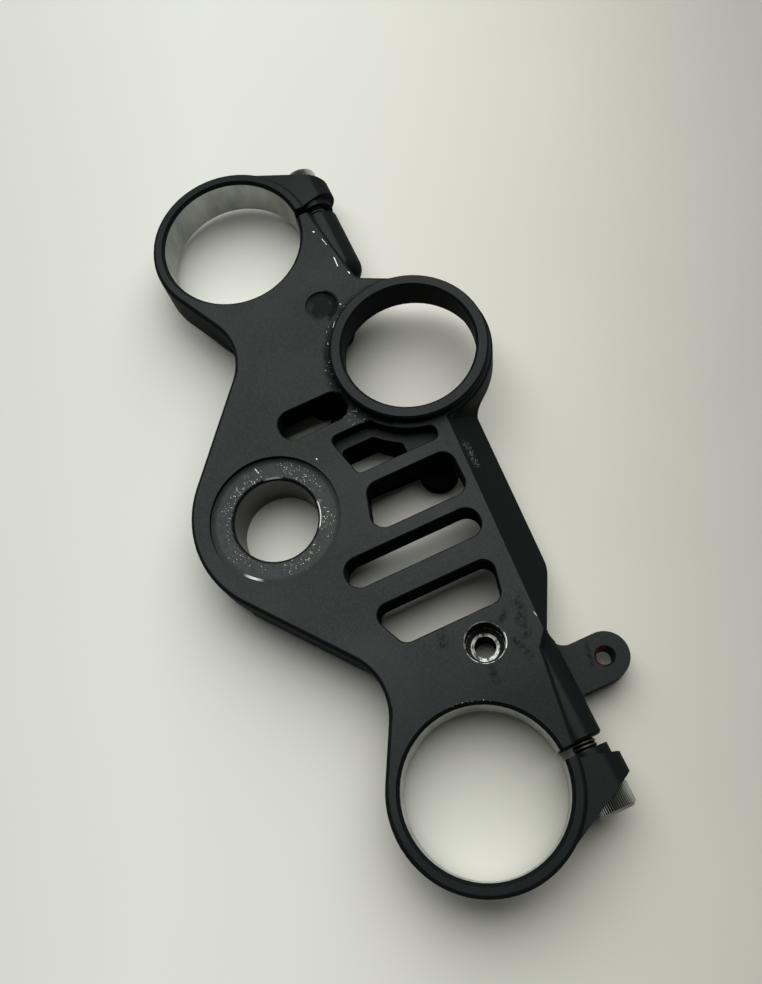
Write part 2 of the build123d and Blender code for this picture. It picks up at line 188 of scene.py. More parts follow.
yokeLook = {
    "dye": "#2e3130",            # black dyed oxide as the flat top shows it, lightened there as a painted sheen
    "dyeWorn": "#383b3a",        # where hands have polished and greyed it
    "dyePaintedShade": "#111414",        # the dye on edges and walls, darkened as painted shade
    "dyeSlotShade": "#050808",      # painted shade inside the slots and on the bosses under them
    "grainLight": "#4a4e4b",     # tops of the blasted grain
    "bare": "#babcb8",           # machined aluminium
    "bareDull": "#8f918e",       # the same under a dull film
    "stemBore": "#5c5e59",       # the stem bore wall, darker grey as painted shade
    "glint": "#f1f2ec",          # bare metal where the dye is gone, painted as bright as a highlight
    "worn": "#494c4b",           # dye rubbed thin under the stem washer
    "scraped": "#a4a6a2",        # spots of the scrape on the front bevel
    "sealantAndShade": "#060a09",        # dark dull sealant round the ring, also the painted shade on one side of the spot face's rim
    "rust": "#4a1a14",           # brown thread sealant in the tab hole
    "specular": 0.02,            # next to no sheen, so edges and walls stay black
    "roughness": 0.52,
    "roughMetal": 0.42,
    "roughInSlots": 1.0,
    "roughSealant": 0.62,
    "cloudRough": 0.12,          # how far the patches and the grain change the roughness
    "grainRough": 0.25,
    "sparkleShare": 0.3,         # how far a bright grain is lightened
    "sealantCover": 0.85,
    "glintMetal": 0.25,          # how metallic a knocked edge is
    "bump": 0.7,
    "grainHeight": 0.06,         # heights in millimetres
    "lumpHeight": 0.5,
    "grooveDepth": 0.012,
    "turning": 0.6,              # feed of the boring tool is about 0.2, drawn coarser
    "sparkle": 0.8,              # spacing of the brightest grains, coarser too
    "pits": 1 / 2.6,             # spacing of the bare pits, and their largest radius as a share of it
    "pitRadius": 0.34,
    "washerLines": 7.0,          # faint rings in radians per millimetre: one about every 0.9
    "washerLineShare": 0.06,
    "streakStretch": (0.13, 0.13, 0.04),   # repeats per millimetre of the film in the fork bores
    "slotMiddle": (11.0, 37.8, 0.0),       # middle of the field of slots
    "patterns": {        # size in millimetres, detail, roughness
        "grain": (0.55, 3.0, 0.7),         # blasted grain is about 0.15, drawn coarser so that it shows
        "cloud": (30.0, 4.0, 0.5),         # patches left by handling
        "film": (1 / 0.14, 5.0, 0.5),
        "mottle": (2.0, 6.0, 0.75),
        "patchy": (1 / 0.35, 5.0, 0.6),    # lumps of sealant
        "streaks": (1.0, 4.0, 0.6),        # stretched by streakStretch
    },
    "zones": {           # ring-shaped zones: centre, inner and outer radius, soft edge
        "rightBore": (forkCentres[0], -1.0, 25.25, 0.15),
        "leftBore": (forkCentres[1], -1.0, 25.25, 0.15),
        "stemBore": (stemCentre, -1.0, 14.2, 0.15),
        "switchHole": (ringCentre, -1.0, 24.8, 0.3),
        "washer": (stemCentre, 15.6, 19.4, 1.3),
        "ledge": (bracketCentre, 3.4, 4.4, 0.25),
        "counterboreRim": (bracketCentre, 6.2, 6.5, 0.12),
        "smear": (ringCentre, 26.8, 27.6, 4.5),
        "foot": (ringCentre, 26.9, 27.9, 0.7),
        "spot": (spotCentre, -1.0, 4.8, 1.2),
        # spotEdge is painted shade: a dark crescent inside one side of the spot face's rim
        "spotEdge": (spotCentre, 4.0, 6.0, 0.7),
        "tabRim": (tabCentre, 2.5, 3.0, 0.2),
    },
    "sides": {           # the way that part of a zone faces, and the cosine of half its angle
        "smear": (ringCentre, (-0.5, -0.86, 0), 0.3),
        "foot": (ringCentre, (-0.65, -0.76, 0), -0.1),
        "spotEdge": (spotCentre, (0.2, 0.97, 0), 0.35),
        "tabRim": (tabCentre, (-0.5, -0.87, 0), -0.1),
    },
    "ranges": {          # what is read, the two values it runs between, and the share at each
        "onTop": ("upward", 0.5, 0.9, 0.0, 1.0),
        "flatTop": ("upward", 0.95, 0.995, 0.0, 1.0),
        "upright": ("upward", 0.2, 0.6, 1.0, 0.0),
        "slotWide": ("fromMiddleX", 46.0, 46.6, 1.0, 0.0),
        "slotDeep": ("fromMiddleY", 23.0, 23.6, 1.0, 0.0),
        "bosses": ("level", 11.0, 13.0, 1.0, 0.0),
        "onRing": ("level", 20.5, 23.5, 1.0, 0.75),      # raised rings and both ends get the least painted sheen
        "toRight": ("across", 55.0, 110.0, 1.0, 0.3),
        "toLeft": ("across", -125.0, -75.0, 0.35, 1.0),
        "forkWall": ("level", 18.8, 18.9, 1.0, 0.0),     # bare up to just under the black top rim
        "stemWall": ("level", 17.2, 17.3, 1.0, 0.0),
        "sunk": ("level", 18.6, 19.0, 1.0, 0.0),
        "plate": ("level", 17.0, 18.0, 0.0, 1.0),
        "deep": ("level", 13.0, 15.0, 1.0, 0.0),
        "belowRing": ("level", 20.3, 21.5, 1.0, 0.0),
        "tabTop": ("level", 8.0, 9.5, 0.0, 1.0),
        "clouded": ("cloud", 0.3, 0.7, 0.0, 1.0),
        "grainy": ("grain", 0.45, 0.75, 0.0, 0.4),
        "spotty": ("grain", 0.54, 0.62, 0.0, 1.0),
        "sparkleDot": ("cells", 0.16, 0.45, 1.0, 0.0),
        "sparkleFew": ("cellPick", 0.6, 1.0, 0.0, 1.0),
        "streaked": ("streaks", 0.3, 0.7, 0.0, 1.0),
        "washerWorn": ("mottle", 0.35, 0.65, 0.3, 0.9),
        "chewed": ("mottle", 0.42, 0.53, 0.0, 1.0),
        "nicked": ("mottle", 0.43, 0.56, 0.0, 1.0),
        "blotch": ("mottle", 0.45, 0.57, 0.0, 0.7),
        "crowd": ("film", 0.44, 0.58, 1.04, 0.72),
        "nearBore": ("washerRadius", 15.0, 19.0, 0.22, 0.02),
        "spotPatch": ("film", 0.42, 0.56, 0.1, 0.85),
        "smeared": ("smear", 0.82, 1.35, 0.0, 0.8),
        "tabStain": ("patchy", 0.35, 0.55, 0.3, 1.0),
    },
    "strokes": {         # marks between two plan points
        "knocked": [     # dye knocked off down to bare metal, painted as bright as a highlight
            {"from": (-81.3, 55.7, 0), "to": (-77.4, 55.5, 0), "width": 0.45},
            {"from": (-73.6, 57.9, 0), "to": (-72.8, 58.1, 0), "width": 0.55},
            {"from": (-94.7, 53.2, 0), "to": (-94.3, 53.4, 0), "width": 0.65},
            {"from": (-90.4, 54.8, 0), "to": (-87.4, 55.4, 0), "width": 0.24},
            {"from": (-19.6, 0.3, 0), "to": (-17.6, 0.9, 0), "width": 0.4},
            {"from": (-13.1, 20.4, 0), "to": (-12.9, 20.5, 0), "width": 0.5},
            {"from": (63.4, 61.6, 0), "to": (64.9, 61.9, 0), "width": 0.2},
            {"from": (-55.6, 44.4, 0), "to": (-57.6, 46.0, 0), "width": 0.22},
            {"from": (-63.0, 50.2, 0), "to": (-62.8, 50.4, 0), "width": 0.3},
        ],
        "scraped": [     # rubbed grey without going through
            {"from": (3.0, 67.4, 0), "to": (11.0, 67.2, 0), "width": 3.2},
        ],
        "stained": [     # smudges of sealant round the bracket hole, on the tab and on the spot face
            {"from": (56.4, 33.5, 0), "to": (60.9, 32.1, 0), "width": 4.4},
            {"from": (71.7, 42.8, 0), "to": (77.3, 42.0, 0), "width": 3.4},
            {"from": (58.0, 58.6, 0), "to": (68.2, 56.4, 0), "width": 5.6},
            {"from": (68.8, 52.6, 0), "to": (74.8, 54.6, 0), "width": 3.6},
            {"from": (59.7, 53.7, 0), "to": (61.9, 50.9, 0), "width": 4.0},
            {"from": (76.3, 73.2, 0), "to": (84.5, 71.6, 0), "width": 2.2},
            {"from": (-63.6, 48.9, 0), "to": (-59.0, 44.6, 0), "width": 2.4},
        ],
    },
    # bright arcs round a centre, worn rims painted as bright as highlights; half is half their angle in
    # degrees;
    # those with rare are only specks, and fewer the closer it is to 1
    "arcs": [
        {"centre": stemCentre, "radius": 20.6, "width": 0.7, "facing": (14.8, -13.6, 0), "half": 11},
        {"centre": stemCentre, "radius": 14.7, "width": 0.3, "facing": (-14.0, 4.5, 0), "half": 14},
        {"centre": stemCentre, "radius": 14.8, "width": 0.35, "facing": (4.5, 14.0, 0), "half": 20},
        {"centre": bracketCentre, "radius": 6.5, "width": 0.35, "facing": (0.35, 1.0, 0), "half": 24},
        {"centre": ringCentre, "radius": 28.6, "width": 2.8, "facing": (-0.72, -0.69, 0), "half": 60,
         "rare": 0.94},
        {"centre": ringCentre, "radius": 30.5, "width": 5.0, "facing": (0.45, -0.89, 0), "half": 16.26,
         "rare": 0.6},
        {"centre": forkCentres[0], "radius": 26.2, "width": 0.2, "facing": (-0.95, 0.3, 0), "half": 18.195,
         "rare": 0.25},
    ],
    "arcSoft": 0.12,
    "speckSoft": 0.15,
}


def blastedAnodisedAluminium():
    # Glass bead blasted, then anodised and dyed black: a close satin grain. The flat top is painted lighter
    # as a sheen, and every rounded edge and wall darker as painted shade. Bores were machined afterwards, so
    # they are bare.
    look = yokeLook
    material, tree, shader = newMaterial("blasted black anodised aluminium")
    place = placeInMillimetres(tree)
    parts = addNode(tree, "ShaderNodeSeparateXYZ", {0: place}).outputs
    normal = addNode(tree, "ShaderNodeNewGeometry").outputs["Normal"]
    upward = addNode(tree, "ShaderNodeSeparateXYZ", {0: normal}).outputs["Z"]
    offset = addNode(tree, "ShaderNodeVectorMath", {0: place, 1: look["slotMiddle"]}, operation="SUBTRACT")
    apart = addNode(tree, "ShaderNodeVectorMath", {0: offset}, operation="ABSOLUTE")
    fromMiddle = addNode(tree, "ShaderNodeSeparateXYZ", {0: apart}).outputs

    # everything that the finish is worked out from: places, patterns, zones and ranges of them
    read = {"level": parts["Z"], "across": parts["X"], "upward": upward,
            "fromMiddleX": fromMiddle["X"], "fromMiddleY": fromMiddle["Y"]}
    drawn = addNode(tree, "ShaderNodeVectorMath", {0: place, 1: look["streakStretch"]}, operation="MULTIPLY")
    for name, (size, detail, roughness) in look["patterns"].items():
        vector = drawn if name == "streaks" else place
        read[name] = addNode(tree, "ShaderNodeTexNoise", {"Vector": vector, "Scale": 1 / size,
                                                          "Detail": detail, "Roughness": roughness})
    cells = addNode(tree, "ShaderNodeTexVoronoi", {"Vector": place, "Scale": 1 / look["sparkle"]})
    read["cells"] = cells
    read["cellPick"] = addNode(tree, "ShaderNodeSeparateColor", {0: cells.outputs["Color"]})
    zone, side, share = {}, {}, {}
    for name, (centre, inner, outer, soft) in look["zones"].items():
        zone[name] = addNode(tree, "ShaderNodeGroup", {"Place": place, "Centre": centre, "Inner": inner,
                                                       "Outer": outer, "Soft": soft}, node_tree=ringZone)
    for name, (centre, direction, narrow) in look["sides"].items():
        side[name] = addNode(tree, "ShaderNodeGroup", {"Place": place, "Centre": centre,
                                                       "Facing": direction, "Narrow": narrow},
                             node_tree=sector)
    smear = addNode(tree, "ShaderNodeMath", {0: zone["smear"], 1: side["smear"]}, operation="MULTIPLY")
    read["smear"] = addNode(tree, "ShaderNodeMath", {0: smear, 1: read["patchy"]}, operation="ADD")
    read["washerRadius"] = zone["washer"].outputs["Radius"]
    for name, (source, low, high, atLow, atHigh) in look["ranges"].items():
        share[name] = addNode(tree, "ShaderNodeMapRange", {"Value": read[source], "From Min": low,
                                                           "From Max": high, "To Min": atLow,
                                                           "To Max": atHigh})

    # the finish itself: soft patches, grain and the odd bright grain
    dye = addNode(tree, "ShaderNodeMix", {"Factor": share["clouded"], "A": linear(look["dye"]),
                                          "B": linear(look["dyeWorn"])}, data_type="RGBA")
    sparkle = addNode(tree, "ShaderNodeMath", {0: share["sparkleDot"], 1: share["sparkleFew"]},
                      operation="MULTIPLY")
    lit = addNode(tree, "ShaderNodeMath", {0: sparkle, 1: look["sparkleShare"], 2: share["grainy"]},
                  operation="MULTIPLY_ADD")
    top = addNode(tree, "ShaderNodeMix", {"Factor": lit, "A": dye, "B": linear(look["grainLight"])},
                  data_type="RGBA", clamp_factor=True)

    # the walls in the field of slots and the bosses under them are painted near black as shade; the flat top
    # is painted lighter as a sheen, most in the middle
    beside = addNode(tree, "ShaderNodeMath", {0: 1.0, 1: zone["switchHole"]}, operation="SUBTRACT")
    inSlots = addNode(tree, "ShaderNodeMath", {0: share["upright"], 1: share["bosses"]}, operation="MAXIMUM")
    for factor in (share["slotWide"], share["slotDeep"], beside):
        inSlots = addNode(tree, "ShaderNodeMath", {0: inSlots, 1: factor}, operation="MULTIPLY")
    outsideSlots = addNode(tree, "ShaderNodeMath", {0: 1.0, 1: inSlots}, operation="SUBTRACT")
    paintedSheen = share["flatTop"]
    for factor in (share["onRing"], share["toRight"], share["toLeft"], outsideSlots):
        paintedSheen = addNode(tree, "ShaderNodeMath", {0: paintedSheen, 1: factor}, operation="MULTIPLY")

    # bare bores: the fork bores under a streaky film, the stem bore darkened with painted shade
    walls, bore = {}, 0.0
    for name, rim in (("rightBore", "forkWall"), ("leftBore", "forkWall"), ("stemBore", "stemWall")):
        walls[name] = addNode(tree, "ShaderNodeMath", {0: zone[name], 1: share[rim]},
                              operation="MULTIPLY")
        bore = addNode(tree, "ShaderNodeMath", {0: bore, 1: walls[name]}, operation="MAXIMUM")
    forkMetal = addNode(tree, "ShaderNodeMix", {"Factor": share["streaked"], "A": linear(look["bareDull"]),
                                                "B": linear(look["bare"])}, data_type="RGBA")
    machined = addNode(tree, "ShaderNodeMix", {"Factor": walls["stemBore"], "A": forkMetal,
                                               "B": linear(look["stemBore"])}, data_type="RGBA")

    # stem washer seat: the dye is rubbed thin in faint rings, with bright pits that crowd to the bore
    washer = addNode(tree, "ShaderNodeMath", {0: zone["washer"], 1: share["sunk"]}, operation="MULTIPLY")
    turns = addNode(tree, "ShaderNodeMath", {0: read["washerRadius"], 1: look["washerLines"]},
                    operation="MULTIPLY")
    lines = addNode(tree, "ShaderNodeMath", {0: turns}, operation="SINE")
    ringed = addNode(tree, "ShaderNodeMath", {0: lines, 1: look["washerLineShare"],
                                              2: share["washerWorn"]}, operation="MULTIPLY_ADD")
    thin = addNode(tree, "ShaderNodeMath", {0: ringed, 1: washer}, operation="MULTIPLY")
    pits = addNode(tree, "ShaderNodeTexVoronoi", {"Vector": place, "Scale": 1 / look["pits"]})
    pitPick = addNode(tree, "ShaderNodeSeparateColor", {0: pits.outputs["Color"]})
    pitSize = addNode(tree, "ShaderNodeMath", {0: pitPick.outputs["Green"], 1: look["pitRadius"]},
                      operation="MULTIPLY")
    pitDot = addNode(tree, "ShaderNodeMath", {0: pits, 1: pitSize}, operation="LESS_THAN")
    crowded = addNode(tree, "ShaderNodeMath", {0: share["crowd"], 1: share["nearBore"]},
                      operation="SUBTRACT")
    pitFew = addNode(tree, "ShaderNodeMath", {0: pitPick, 1: crowded}, operation="GREATER_THAN")

    # worn bare metal, painted as bright as highlights: those pits, the screw seat in the counterbore, its
    # nicked rim, arcs and knocks
    glints = [(pitDot, pitFew, washer),
              (zone["ledge"], share["deep"], share["onTop"], share["chewed"]),
              (zone["counterboreRim"], share["onTop"], share["nicked"])]
    for arc in look["arcs"]:
        soft = look["speckSoft"] if "rare" in arc else look["arcSoft"]
        band = addNode(tree, "ShaderNodeGroup", {"Place": place, "Centre": arc["centre"],
                                                 "Inner": arc["radius"] - arc["width"] / 2,
                                                 "Outer": arc["radius"] + arc["width"] / 2,
                                                 "Soft": soft}, node_tree=ringZone)
        part = addNode(tree, "ShaderNodeGroup", {"Place": place, "Centre": arc["centre"],
                                                 "Facing": arc["facing"],
                                                 "Narrow": math.cos(math.radians(arc["half"]))},
                       node_tree=sector)
        if "rare" in arc:
            chosen = addNode(tree, "ShaderNodeMath", {0: pitPick, 1: arc["rare"]}, operation="GREATER_THAN")
            glints.append((band, part, chosen, pitDot, share["plate"]))
        else:
            glints.append((band, part, share["onTop"]))
    marked = {}
    for kind, marks in look["strokes"].items():
        for mark in marks:
            stroke = addNode(tree, "ShaderNodeGroup", {"Place": place, "From": mark["from"],
                                                       "To": mark["to"], "Width": mark["width"]},
                             node_tree=scuffMark)
            marked[kind] = addNode(tree, "ShaderNodeMath", {0: marked.get(kind, 0.0), 1: stroke},
                                   operation="MAXIMUM")
        marked[kind] = addNode(tree, "ShaderNodeMath", {0: marked[kind], 1: share["onTop"]},
                               operation="MULTIPLY")
    wornHighlight = marked["knocked"]
    for factors in glints:
        glint = factors[0]
        for factor in factors[1:]:
            glint = addNode(tree, "ShaderNodeMath", {0: glint, 1: factor}, operation="MULTIPLY")
        wornHighlight = addNode(tree, "ShaderNodeMath", {0: wornHighlight, 1: glint}, operation="MAXIMUM")
    scraped = addNode(tree, "ShaderNodeMath", {0: marked["scraped"], 1: share["spotty"]},
                      operation="MULTIPLY")

    # dark sealant: smeared round the foot of the ring and over the left spot face, and in smudges; the
    # crescent on one side of the spot face's rim is painted shade
    sealantAndShade = share["smeared"]
    for patch, cover in ((zone["foot"], side["foot"]), (zone["spot"], share["spotPatch"]),
                         (zone["spotEdge"], side["spotEdge"]), (marked["stained"], share["blotch"])):
        patch = addNode(tree, "ShaderNodeMath", {0: patch, 1: cover}, operation="MULTIPLY")
        sealantAndShade = addNode(tree, "ShaderNodeMath", {0: sealantAndShade, 1: patch}, operation="MAXIMUM")
    for factor in (share["belowRing"], share["onTop"]):
        sealantAndShade = addNode(tree, "ShaderNodeMath", {0: sealantAndShade, 1: factor}, operation="MULTIPLY")
    dark = addNode(tree, "ShaderNodeMath", {0: sealantAndShade, 1: look["sealantCover"]}, operation="MULTIPLY")
    rust = zone["tabRim"]
    for factor in (side["tabRim"], share["tabStain"], share["tabTop"]):
        rust = addNode(tree, "ShaderNodeMath", {0: rust, 1: factor}, operation="MULTIPLY")

    # edges and walls start dark as painted shade, the slots darker still; the flat top gets the painted sheen
    colour = addNode(tree, "ShaderNodeMix", {"Factor": inSlots, "A": linear(look["dyePaintedShade"]),
                                             "B": linear(look["dyeSlotShade"])}, data_type="RGBA")
    for cover, paint in ((paintedSheen, top), (thin, linear(look["worn"])), (scraped, linear(look["scraped"])),
                         (dark, linear(look["sealantAndShade"])), (bore, machined),
                         (wornHighlight, linear(look["glint"])), (rust, linear(look["rust"]))):
        colour = addNode(tree, "ShaderNodeMix", {"Factor": cover, "A": colour, "B": paint},
                         data_type="RGBA")
    tree.links.new(colour.outputs[2], shader.inputs["Base Color"])
    softBright = addNode(tree, "ShaderNodeMath", {0: wornHighlight, 1: look["glintMetal"]}, operation="MULTIPLY")
    metal = addNode(tree, "ShaderNodeMath", {0: bore, 1: softBright}, operation="MAXIMUM")
    tree.links.new(metal.outputs[0], shader.inputs["Metallic"])

    # roughness: satin dye, smoother bare metal, dull sealant and dead matt slots
    swing = (look["cloudRough"] + look["grainRough"]) / 2
    uneven = addNode(tree, "ShaderNodeMath", {0: read["cloud"], 1: look["cloudRough"],
                                              2: look["roughness"] - swing}, operation="MULTIPLY_ADD")
    rough = addNode(tree, "ShaderNodeMath", {0: read["grain"], 1: look["grainRough"], 2: uneven},
                    operation="MULTIPLY_ADD")
    for cover, value in ((metal, look["roughMetal"]), (inSlots, look["roughInSlots"]),
                         (dark, look["roughSealant"])):
        rough = addNode(tree, "ShaderNodeMix", {"Factor": cover, "A": rough, "B": value},
                        data_type="FLOAT")
    tree.links.new(rough.outputs[0], shader.inputs["Roughness"])

    # heights: blasted grain, sealant lumps, and turning lines in the bare bores
    wavePeriod = 0.314           # of the wave texture at scale 1
    feed = addNode(tree, "ShaderNodeTexWave", {"Vector": place, "Scale": wavePeriod / look["turning"],
                                               "Distortion": 0.6, "Detail": 1.0}, bands_direction="Z")
    dyed = addNode(tree, "ShaderNodeMath", {0: 1.0, 1: bore}, operation="SUBTRACT")
    height = 0.0
    for pattern, cover, rise in ((read["grain"], dyed, look["grainHeight"]),
                                 (read["patchy"], sealantAndShade, look["lumpHeight"]),
                                 (feed.outputs["Fac"], bore, look["grooveDepth"])):
        part = addNode(tree, "ShaderNodeMath", {0: pattern, 1: cover}, operation="MULTIPLY")
        height = addNode(tree, "ShaderNodeMath", {0: part, 1: rise, 2: height}, operation="MULTIPLY_ADD")
    bump = addNode(tree, "ShaderNodeBump", {"Height": height, "Strength": look["bump"], "Distance": mm})
    tree.links.new(bump.outputs[0], shader.inputs["Normal"])
    shader.inputs["Specular IOR Level"].default_value = look["specular"]
    return material


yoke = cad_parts["triple_clamp"]
yoke.material_slots[0].material = blastedAnodisedAluminium()
print("yoke finished")


# Pinch screws: M8 socket head cap screws with a knurled head, one across each slit.

pinchScrew = {
    "axisY": 57.8,
    "axisZ": 11.25,
    "headRadius": 6.5,
    "headHeight": 8.0,
    "underCut": 0.8,             # plain band under the knurl
    "topChamfer": 0.9,
    "knurlHeight": 0.32,
    "knurls": 56,
    "socketAcross": 6.0,
    "socketDepth": 4.0,
    "shankRadius": 4.0,
    "shankLength": 35.0,
    "plainLength": 7.5,
    "pitch": 1.25,
    "threadDepth": 0.7,
    "tipChamfer": 0.8,
    "drillPoint": 1.1,           # depth of the cone under the socket
    "segments": 96,
    "seats": {"pinch_screw_right": (117.9, 1), "pinch_screw_left": (-116.8, -1)},   # X, way the head points
    "steelDark": "#565753",
    "steelLight": "#8a8b86",
    "darkened": "#161716",
    "darkThread": (3.9, 4.4),       # radii: the thread is dark inside the first, partly old grease and partly painted shade of the slit, and clean past the second
    "inGrooves": (6.12, 6.25, 6.5),     # radii: darker from the first, fading from the second to the third
}


def joinRidges(tree, size, end, ridges, along):
    # moves the ridges along the screw, joins them to the mesh and gives it all the material
    shift = addNode(tree, "ShaderNodeCombineXYZ", {"Z": along})
    moved = addNode(tree, "GeometryNodeTransform", {"Geometry": ridges, "Translation": shift})
    both = addNode(tree, "GeometryNodeJoinGeometry", {"Geometry": size["Geometry"]})
    tree.links.new(moved.outputs[0], both.inputs[0])
    real = addNode(tree, "GeometryNodeRealizeInstances", {"Geometry": both})
    coloured = addNode(tree, "GeometryNodeSetMaterial", {"Geometry": real, "Material": size["Material"]})
    tree.links.new(coloured.outputs[0], end.inputs[0])


def knurlTree():
    # straight knurl: one three-sided ridge copied round the head
    number = "NodeSocketFloat"
    inputs = [("Geometry", "NodeSocketGeometry"), ("Ridges", "NodeSocketInt"), ("Core radius", number),
              ("Height", number), ("Length", number), ("Middle", number),
              ("Material", "NodeSocketMaterial")]
    tree, start, end = newGroup("straight knurl", "GeometryNodeTree", inputs,
                                [("Geometry", "NodeSocketGeometry")])
    size = start.outputs
    ring = addNode(tree, "GeometryNodeMeshCircle", {"Vertices": size["Ridges"],
                                                    "Radius": size["Core radius"]})
    width = addNode(tree, "ShaderNodeMath", {0: size["Height"], 1: 1.5}, operation="MULTIPLY")
    ridge = addNode(tree, "GeometryNodeMeshCylinder", {"Vertices": 3, "Radius": 1.0, "Depth": size["Length"]})
    section = addNode(tree, "ShaderNodeCombineXYZ", {"X": size["Height"], "Y": width, "Z": 1.0})
    shaped = addNode(tree, "GeometryNodeTransform", {"Geometry": ridge, "Scale": section})
    position = addNode(tree, "GeometryNodeInputPosition")
    facing = addNode(tree, "FunctionNodeAlignRotationToVector", {"Vector": position}, axis="X")
    copies = addNode(tree, "GeometryNodeInstanceOnPoints", {"Points": ring, "Instance": shaped,
                                                            "Rotation": facing})
    joinRidges(tree, size, end, copies, size["Middle"])
    return tree


def threadTree():
    # a helix with a four-cornered section, so that one corner is the crest
    number = "NodeSocketFloat"
    inputs = [("Geometry", "NodeSocketGeometry"), ("Pitch", number), ("Length", number),
              ("Crest radius", number), ("Depth", number), ("Start", number),
              ("Material", "NodeSocketMaterial")]
    tree, start, end = newGroup("screw thread", "GeometryNodeTree", inputs,
                                [("Geometry", "NodeSocketGeometry")])
    size = start.outputs
    turns = addNode(tree, "ShaderNodeMath", {0: size["Length"], 1: size["Pitch"]}, operation="DIVIDE")
    middle = addNode(tree, "ShaderNodeMath", {0: size["Crest radius"], 1: size["Depth"]},
                     operation="SUBTRACT")
    helix = addNode(tree, "GeometryNodeCurveSpiral", {"Resolution": 28, "Rotations": turns,
                                                      "Start Radius": middle, "End Radius": middle,
                                                      "Height": size["Length"]})
    upright = addNode(tree, "GeometryNodeSetCurveNormal", {"Curve": helix}, mode="Z_UP")
    section = addNode(tree, "GeometryNodeCurvePrimitiveCircle", {"Resolution": 4, "Radius": size["Depth"]})
    ridge = addNode(tree, "GeometryNodeCurveToMesh", {"Curve": upright, "Profile Curve": section,
                                                      "Fill Caps": True})
    joinRidges(tree, size, end, ridge, size["Start"])
    return tree


def useTree(piece, tree, values):
    modifier = piece.modifiers.new(tree.name, "NODES")
    modifier.node_group = tree
    for item in tree.interface.items_tree:
        if item.item_type == "SOCKET" and item.in_out == "INPUT" and item.name in values:
            modifier[item.identifier] = values[item.name]


def bakeModifiers(piece):
    evaluated = piece.evaluated_get(bpy.context.evaluated_depsgraph_get())
    mesh = bpy.data.meshes.new_from_object(evaluated)
    piece.modifiers.clear()
    piece.data = mesh


def ringPoints(bm, height, radius, hexShare):
    # a ring of points round Z, round at hexShare 0 and a hexagon at 1
    count = pinchScrew["segments"]
    ring = []
    for step in range(count):
        angle = 2 * math.pi * step / count
        fromFlat = (angle % (math.pi / 3)) - math.pi / 6
        reach = radius * (1 + hexShare * (1 / math.cos(fromFlat) - 1))
        ring.append(bm.verts.new((reach * math.cos(angle) * mm, reach * math.sin(angle) * mm, height * mm)))
    return ring


def screwProfile():
    # height along the screw, radius, hexagon share; from the tip to the floor of the socket
    size = pinchScrew
    root = size["shankRadius"] - size["threadDepth"]
    head, across = size["headRadius"] - size["knurlHeight"], size["socketAcross"] / 2
    top = size["headHeight"]
    return [
        (-size["shankLength"], root - size["tipChamfer"], 0),    # tip
        (-size["shankLength"] + size["tipChamfer"], root, 0),
        (-size["plainLength"] - 0.6, root, 0),                   # the thread runs out over 0.6
        (-size["plainLength"], size["shankRadius"] - 0.05, 0),   # plain shank, a hair thinner
        (-0.3, size["shankRadius"] - 0.05, 0),
        (0, size["shankRadius"] + 0.25, 0),                      # fillet under the head
        (0, head - 0.5, 0),                                      # bevel round the seat
        (0.35, head, 0),
        (top - size["topChamfer"], head, 0),                     # rounded top edge
        (top - 0.12, head - size["topChamfer"] * 0.8, 0),
        (top, head - size["topChamfer"] - 0.1, 0),
        (top, across + 0.75, 0),                                 # round mouth of the socket
        (top - 0.45, across, 1),
        (top - size["socketDepth"], across, 1),
    ]


def screwBody():
    bm = bmesh.new()
    rings = [ringPoints(bm, *row) for row in screwProfile()]
    for lower, upper in zip(rings, rings[1:]):
        for step in range(len(lower)):
            following = (step + 1) % len(lower)
            bm.faces.new((lower[step], lower[following], upper[following], upper[step]))
    size = pinchScrew
    tip = bm.verts.new((0, 0, -size["shankLength"] * mm))
    bottom = bm.verts.new((0, 0, (size["headHeight"] - size["socketDepth"] - size["drillPoint"]) * mm))
    for step in range(len(rings[0])):
        following = (step + 1) % len(rings[0])
        bm.faces.new((tip, rings[0][following], rings[0][step]))
        bm.faces.new((bottom, rings[-1][step], rings[-1][following]))
    mesh = bpy.data.meshes.new("pinch screw")
    bm.to_mesh(mesh)
    bm.free()
    return mesh


